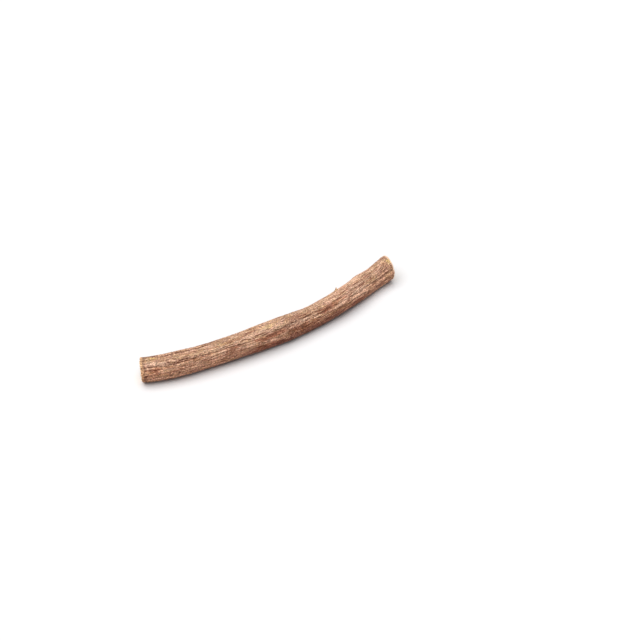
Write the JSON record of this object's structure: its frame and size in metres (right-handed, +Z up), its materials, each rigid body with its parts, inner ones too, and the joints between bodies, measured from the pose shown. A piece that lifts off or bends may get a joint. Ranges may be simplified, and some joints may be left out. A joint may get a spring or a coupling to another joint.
{
  "type": "licorice root",
  "caption": "Cut length of dried licorice root, a gently bent woody stick with wrinkled brown bark and a slanted cut at each end, lying on its side.",
  "frame": {"origin": "on the surface that the root lies on, under the middle of its bounding box", "axes": "+X from one cut end to the other along the root's chord, +Y towards the hollow side of its bend, +Z up"},
  "size_m": [0.1634, 0.0274, 0.014],
  "materials": {
    "bark": "matt dry bark",
    "cut_wood": "matt fibrous cut wood"
  },
  "bodies": {
    "root": {"licorice_root": "bark"}
  },
  "joints": []
}
